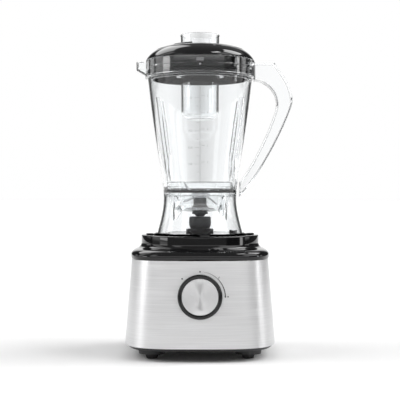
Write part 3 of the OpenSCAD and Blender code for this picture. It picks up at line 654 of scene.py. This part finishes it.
# %% Scale lines
foot_of_scale, head_of_scale, step_h, figure_h = rim - 160, rim - 43, 10.2, 3.6
scale_lines = [bar(-0.25, z, 0.25, z + 6) for z in range(round(foot_of_scale), round(head_of_scale), 6)]
numbers = []
for step in range(1, 11):
    z = foot_of_scale + 5 + step * step_h
    long_tick = step % 2 == 0
    scale_lines.append(bar(-7 if long_tick else -4.5, z - 0.2, -1.2, z + 0.2))
    if long_tick:
        scale_lines.append(bar(1.2, z + 2.3, 6, z + 2.7))
        numbers += [(str(step * 125), -9.5, z - 1.3, "RIGHT"), (str(step // 2), 8.5, z + 1.2, "LEFT")]
print("scale of", len(scale_lines), "lines and", len(numbers), "numbers")

# %% [markdown]
# The numbers are text objects. Each is made a mesh before its place is applied, and all are pressed on as
# one.

# %% Scale numbers
figures = []
for digits, x, z, side in numbers:
    deselect()
    bpy.ops.object.text_add(location=(axis.x + x * mm, print_y, z * mm), rotation=(math.pi / 2, 0, 0))
    figure = bpy.context.object
    figure.data.body, figure.data.size, figure.data.align_x = digits, figure_h * mm, side
    figure.data.resolution_u = 2
    bpy.ops.object.convert(target="MESH")
    figures.append(settle(figure, 0))
lines = printed("jug_scale", scale_lines, jug)
scale = join(lines, [press_on("jug_figures", figures, jug)])
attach(scale, "jug")

# %% [markdown]
# A small sign on the collar: two short bars over a pointer, where the lid is turned to lock.

# %% Lock sign
lock_sign = printed("lock_sign", [bar(-4.6, rim - 5.4, 4.6, rim - 4.7), bar(-4.6, rim - 7.6, 4.6, rim - 6.9),
                                  [(-1.6, rim - 11.2), (1.6, rim - 11.2), (0, rim - 13.4)]], jug)
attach(lock_sign, "jug")

# %% [markdown]
# Even shading. Smooth shading bends the light over a long flat wall when a small chamfer ends it. The
# Weighted Normal modifier lets the large faces decide, so a gloss wall mirrors straight lines and a clear
# one is calm.

# %% Even shading
for piece in (jug, lid, cup):
    even = piece.modifiers.new("even", "WEIGHTED_NORMAL")
    even.keep_sharp, even.weight, even.thresh = True, 80, 0.01
    apply_all(piece)
    print("evened", piece.name)

# %% [markdown]
# Materials. Each is a Principled shader with noise for its colour and roughness and a fine bump, all read
# in Object coordinates so that the pattern stays with the piece.

# %% Material helper
def material(name, color, rough, metal, grain, spread, bump, tone=0.06, **sockets):
    """grain: specks to the metre along x, y, z; spread and tone: how far roughness and colour vary."""
    finish = bpy.data.materials.new(name)
    finish.use_nodes = True
    nodes, links = finish.node_tree.nodes, finish.node_tree.links
    shader = nodes["Principled BSDF"]
    shader.inputs["Metallic"].default_value = metal
    for socket, value in sockets.items():
        shader.inputs[socket.replace("_", " ")].default_value = value
    where, place = nodes.new("ShaderNodeTexCoord"), nodes.new("ShaderNodeMapping")
    noise, shade = nodes.new("ShaderNodeTexNoise"), nodes.new("ShaderNodeMapRange")
    mix, relief = nodes.new("ShaderNodeMix"), nodes.new("ShaderNodeBump")
    place.inputs["Scale"].default_value = grain
    noise.inputs["Scale"].default_value, noise.inputs["Detail"].default_value = 1.0, 4.0
    links.new(where.outputs["Object"], place.inputs["Vector"])
    links.new(place.outputs["Vector"], noise.inputs["Vector"])
    for socket, value in (("From Min", 0.3), ("From Max", 0.7),
                          ("To Min", rough - spread / 2), ("To Max", rough + spread / 2)):
        shade.inputs[socket].default_value = value
    links.new(noise.outputs["Fac"], shade.inputs["Value"])
    links.new(shade.outputs["Result"], shader.inputs["Roughness"])
    mix.data_type = "RGBA"
    for socket, change in (("A", 1 - tone), ("B", 1 + tone)):
        mix.inputs[socket].default_value = (*(min(1, c * change) for c in color), 1)
    links.new(noise.outputs["Fac"], mix.inputs["Factor"])
    links.new(mix.outputs["Result"], shader.inputs["Base Color"])
    relief.inputs["Strength"].default_value, relief.inputs["Distance"].default_value = bump, 0.0002
    links.new(noise.outputs["Fac"], relief.inputs["Height"])
    links.new(relief.outputs["Normal"], shader.inputs["Normal"])
    return finish


def wear(piece, finish):
    piece.data.materials.clear()
    piece.data.materials.append(finish)


# %% [markdown]
# Outer finishes. Brushed steel has its grain drawn out into long level lines. Gloss black is nearly without
# colour of its own, since what shows on it is the room. Clear plastic bends light as acrylic does.

# %% Outer finishes
steel = material("brushed_steel", (0.72, 0.72, 0.725), 0.34, 1.0, (18, 18, 900), 0.12, 0.08, 0.13,
                 Anisotropic=0.4)
gloss = material("gloss_black", (0.003, 0.003, 0.0033), 0.035, 0.0, (60, 60, 60), 0.02, 0.008, 0.1)
black = material("black_plastic", (0.02, 0.02, 0.021), 0.5, 0.0, (900, 900, 900), 0.1, 0.3, 0.15)
rubber = material("black_rubber", (0.012, 0.012, 0.012), 0.7, 0.0, (500, 500, 500), 0.15, 0.2, 0.2)
knob_black = material("knob_black", (0.004, 0.004, 0.0045), 0.12, 0.0, (300, 300, 300), 0.08, 0.05, 0.15)
clear = material("clear_plastic", (0.97, 0.98, 0.985), 0.02, 0.0, (30, 30, 30), 0.02, 0.01, 0.01,
                 Transmission_Weight=1.0, IOR=1.5)
grey = material("coupling_grey", (0.03, 0.03, 0.033), 0.4, 0.0, (500, 500, 500), 0.12, 0.15, 0.15)
blade = material("blade_steel", (0.6, 0.61, 0.63), 0.25, 1.0, (3000, 60, 3000), 0.12, 0.08, 0.08)
ink_grey = material("print_grey", (0.5, 0.5, 0.51), 0.5, 0.0, (2000, 2000, 2000), 0.1, 0.05, 0.05)
print("outer finishes mixed")

# %% [markdown]
# Spun aluminium throws its light across the scratches, so its shader is told their direction by a Tangent
# node that reads the cap's own UV map.

# %% Spun aluminium
spun = material("spun_aluminium", (0.66, 0.66, 0.665), 0.32, 1.0, (900, 900, 900), 0.06, 0.02, 0.04,
                Anisotropic=0.9)
round_and_round = spun.node_tree.nodes.new("ShaderNodeTangent")
round_and_round.direction_type, round_and_round.uv_map = "UV_MAP", "polar"
spun.node_tree.links.new(round_and_round.outputs["Tangent"],
                         spun.node_tree.nodes["Principled BSDF"].inputs["Tangent"])
print("scratches on", spun.name, "run round the map", round_and_round.uv_map)

# %% [markdown]
# Inner finishes, for the motor, the switch and the other pieces inside. They show when the model is taken
# apart.

# %% Inner finishes
zinc = material("zinc_steel", (0.55, 0.55, 0.53), 0.35, 1.0, (300, 300, 300), 0.15, 0.05, 0.1)
board = material("board_green", (0.02, 0.12, 0.05), 0.4, 0.0, (300, 300, 300), 0.1, 0.1, 0.2)
capacitor = material("capacitor_yellow", (0.6, 0.38, 0.04), 0.35, 0.0, (200, 200, 200), 0.1, 0.05, 0.1)
lamination = material("lamination_steel", (0.22, 0.23, 0.25), 0.45, 0.9, (60, 60, 4000), 0.2, 0.4, 0.25)
copper = material("enamelled_copper", (0.5, 0.19, 0.07), 0.3, 0.9, (300, 300, 2500), 0.15, 0.5, 0.25)
casting = material("cast_aluminium", (0.55, 0.56, 0.57), 0.5, 1.0, (400, 400, 400), 0.2, 0.3, 0.1)
ground = material("bearing_steel", (0.68, 0.69, 0.71), 0.2, 1.0, (80, 80, 3000), 0.1, 0.05, 0.06)
resin = material("brush_holder_resin", (0.24, 0.15, 0.08), 0.5, 0.0, (500, 500, 500), 0.15, 0.2, 0.2)
carbon = material("carbon", (0.03, 0.03, 0.033), 0.55, 0.2, (900, 900, 900), 0.2, 0.2, 0.3)
segment = material("commutator_copper", (0.6, 0.27, 0.12), 0.28, 1.0, (100, 100, 4000), 0.15, 0.1, 0.15)
white = material("white_plastic", (0.7, 0.7, 0.67), 0.45, 0.0, (400, 400, 400), 0.1, 0.1, 0.05)
bronze = material("bush_bronze", (0.5, 0.32, 0.13), 0.4, 1.0, (900, 900, 900), 0.15, 0.2, 0.15)
print("inner finishes mixed")

# %% [markdown]
# Each CAD piece wears the finish that its material slot in the record names, and the new pieces wear
# theirs.

# %% Put the finishes on
by_slot = {
    "brushed_steel": steel, "gloss_black": gloss, "black_plastic": black, "black_rubber": rubber,
    "knob_black": knob_black, "clear_plastic": clear, "coupling_grey": grey, "blade_steel": blade,
    "spun_aluminium": spun, "zinc_steel": zinc, "board_green": board, "capacitor_yellow": capacitor,
    "lamination_steel": lamination, "enamelled_copper": copper, "cast_aluminium": casting,
    "bearing_steel": ground, "brush_holder_resin": resin, "carbon": carbon, "commutator_copper": segment,
    "white_plastic": white, "bush_bronze": bronze}
for part in frame["record"]["subparts"]:
    wear(frame["nodes"][part["node"]], by_slot[part["material_slot"]])
for piece, finish in ((skin, steel), (cover, gloss), (jug, clear), (carrier, clear), (lid, gloss),
                      (cup, clear), (knob, knob_black), (cap, spun), (dial_marks, black),
                      (scale, ink_grey), (lock_sign, ink_grey)):
    wear(piece, finish)

# %% [markdown]
# Floor: a plain pale sheet, lit evenly. Wide suns on the left, on the right and overhead give the base a
# soft shadow on both sides. They are turned off for reflections, because gloss should show softboxes and
# not a sun.

# %% Floor
deselect()
bpy.ops.mesh.primitive_plane_add(size=40, location=(0, 0, -0.0004))
floor = bpy.context.object
floor.name = "floor"
wear(floor, material("floor", (0.9, 0.9, 0.9), 0.8, 0.0, (3, 3, 3), 0.02, 0.0, 0.005))
print("floor", floor.dimensions.x, "m across")

# %% [markdown]
# A sun's angle is how wide it looks from the ground. The wider it is, the softer its shadow.

# %% Soft suns
def soft_sun(name, tilt_right, strength, spread=50):
    deselect()
    bpy.ops.object.light_add(type="SUN", location=(0, 0, 2), rotation=(0, math.radians(tilt_right), 0))
    lamp = bpy.context.object
    lamp.name = name
    lamp.data.energy, lamp.data.angle = strength, math.radians(spread)
    lamp.visible_glossy = lamp.visible_transmission = False
    return lamp


for name, tilt_right, strength in (("key", 50, 2.5), ("fill", -50, 1.9), ("overhead", 0, 0.35)):
    print(soft_sun(name, tilt_right, strength).name, "of strength", strength)

# %% [markdown]
# Surround: what gloss and clear plastic mirror and bend. A studio hangs softboxes and black flags round
# such an object, so the world is a dim room with panels in it. Each panel is a range of azimuth (0 is where
# the camera stands, plus is to its right) and of elevation, with soft edges, and later panels cover earlier
# ones. The camera itself sees plain white. Matt surfaces are lit by the suns and by a dim, even sky.

# %% Sums in the world's nodes
world = bpy.data.worlds.new("studio")
bpy.context.scene.world = world
world.use_nodes = True
sky, wire = world.node_tree.nodes, world.node_tree.links


def sum_node(operation, a, b=None):
    node = sky.new("ShaderNodeMath")
    node.operation = operation
    for socket, value in zip(node.inputs, (a, b)):
        if value is None:
            continue
        if isinstance(value, (int, float)):
            socket.default_value = value
        else:
            wire.new(value, socket)
    return node.outputs[0]


def between(value, low, high, soft):
    edges = []
    for a, b in ((low - soft / 2, low + soft / 2), (high + soft / 2, high - soft / 2)):
        node = sky.new("ShaderNodeMapRange")
        node.interpolation_type = "SMOOTHSTEP"
        node.inputs["From Min"].default_value, node.inputs["From Max"].default_value = a, b
        wire.new(value, node.inputs["Value"])
        edges.append(node.outputs["Result"])
    return sum_node("MULTIPLY", *edges)


# %% [markdown]
# The direction that a ray goes in gives its azimuth and elevation in degrees.

# %% Azimuth and elevation
look, apart = sky.new("ShaderNodeTexCoord"), sky.new("ShaderNodeSeparateXYZ")
wire.new(look.outputs["Generated"], apart.inputs["Vector"])
azimuth = sum_node("DEGREES", sum_node("ARCTAN2", apart.outputs["X"],
                                       sum_node("MULTIPLY", apart.outputs["Y"], -1)))
elevation = sum_node("DEGREES", sum_node("ARCSINE", apart.outputs["Z"]))
print("azimuth and elevation read from", look.name)

# %% [markdown]
# Softboxes are the panels brighter than 1, flags are the darkest ones. A low softbox lights the steel,
# strips at the sides give the lid its upright bands, and windows high up give the dome its streaks.

# %% Panels
panels = [  # azimuth from and to, elevation from and to, softness, brightness
    (-56, 60, 8.5, 16.5, 2, 1.9),  # long low softbox over the camera
    (-56, -40, 14, 44, 4, 1.8), (40, 56, 14, 44, 4, 1.8),
    (-84, -66, -20, 3, 3, 1.5), (-84, -66, 4, 9.5, 1, 4.8),  # left softboxes, low
    (-108, -86, 14, 58, 6, 1.6),  # and high
    (-162, -106, -20, 34, 4, 0.06), (-106, -84, 3, 14, 3, 1.4),  # left flag and fill
    (-128, -112, 3, 14, 3, 1.2),
    (52, 82, -20, 14, 4, 0.04), (52, 86, 14, 58, 6, 2.2),  # right flag, and a softbox over it
    (84, 91, -20, 14, 2, 4.5),  # right strip
    (94, 162, -20, 34, 4, 0.06), (98, 112, 3, 14, 3, 1.5),  # flag behind it
    (-180, -164, -20, 34, 8, 1.05), (164, 180, -20, 34, 8, 1.05),  # white behind
    (-168, -118, 33, 60, 4, 3.5),  # long window high on the left
    (96, 132, 38, 62, 3, 6.5),  # window high on the right
    (44, 78, 61, 68, 2, 12.0),  # lamp overhead
]
print("world with", len(panels), "panels")

# %% [markdown]
# Each panel is mixed over what is there already. Last come the even sky for matt surfaces and plain white
# for the camera, told apart by the Light Path node.

# %% Hang the panels
def mixed(factor, under, over):
    node = sky.new("ShaderNodeMix")
    wire.new(factor, node.inputs["Factor"])
    if isinstance(under, float):
        node.inputs["A"].default_value = under
    else:
        wire.new(under, node.inputs["A"])
    node.inputs["B"].default_value = over
    return node.outputs["Result"]


light, sky_light, backdrop = 0.3, 0.12, 1.0
for az0, az1, el0, el1, soft, value in panels:
    mask = sum_node("MULTIPLY", between(azimuth, az0, az1, soft), between(elevation, el0, el1, soft))
    light = mixed(mask, light, value)
path = sky.new("ShaderNodeLightPath")
light = mixed(path.outputs["Is Diffuse Ray"], light, sky_light)
light = mixed(path.outputs["Is Camera Ray"], light, backdrop)
wire.new(light, sky["Background"].inputs["Strength"])
sky["Background"].inputs["Color"].default_value = (1, 1, 1, 1)
print("world made with", len(sky), "nodes")

# %% [markdown]
# Camera: a long lens at the height of the jug's gasket, looking very slightly down.

# %% Camera
distance, eye_height, look_down = 1.3, 0.206, 0.458
camera_data = bpy.data.cameras.new("camera")
camera_data.sensor_width, camera_data.lens = 36, 90
camera = bpy.data.objects.new("camera", camera_data)
bpy.context.scene.collection.objects.link(camera)
camera.location = (axis.x, axis.y - distance, eye_height)
camera.rotation_euler = (math.radians(90 - look_down), 0, 0)
bpy.context.scene.camera = camera
bpy.context.scene.view_settings.view_transform = "Standard"
print("camera", distance, "m away with a", camera_data.lens, "mm lens")
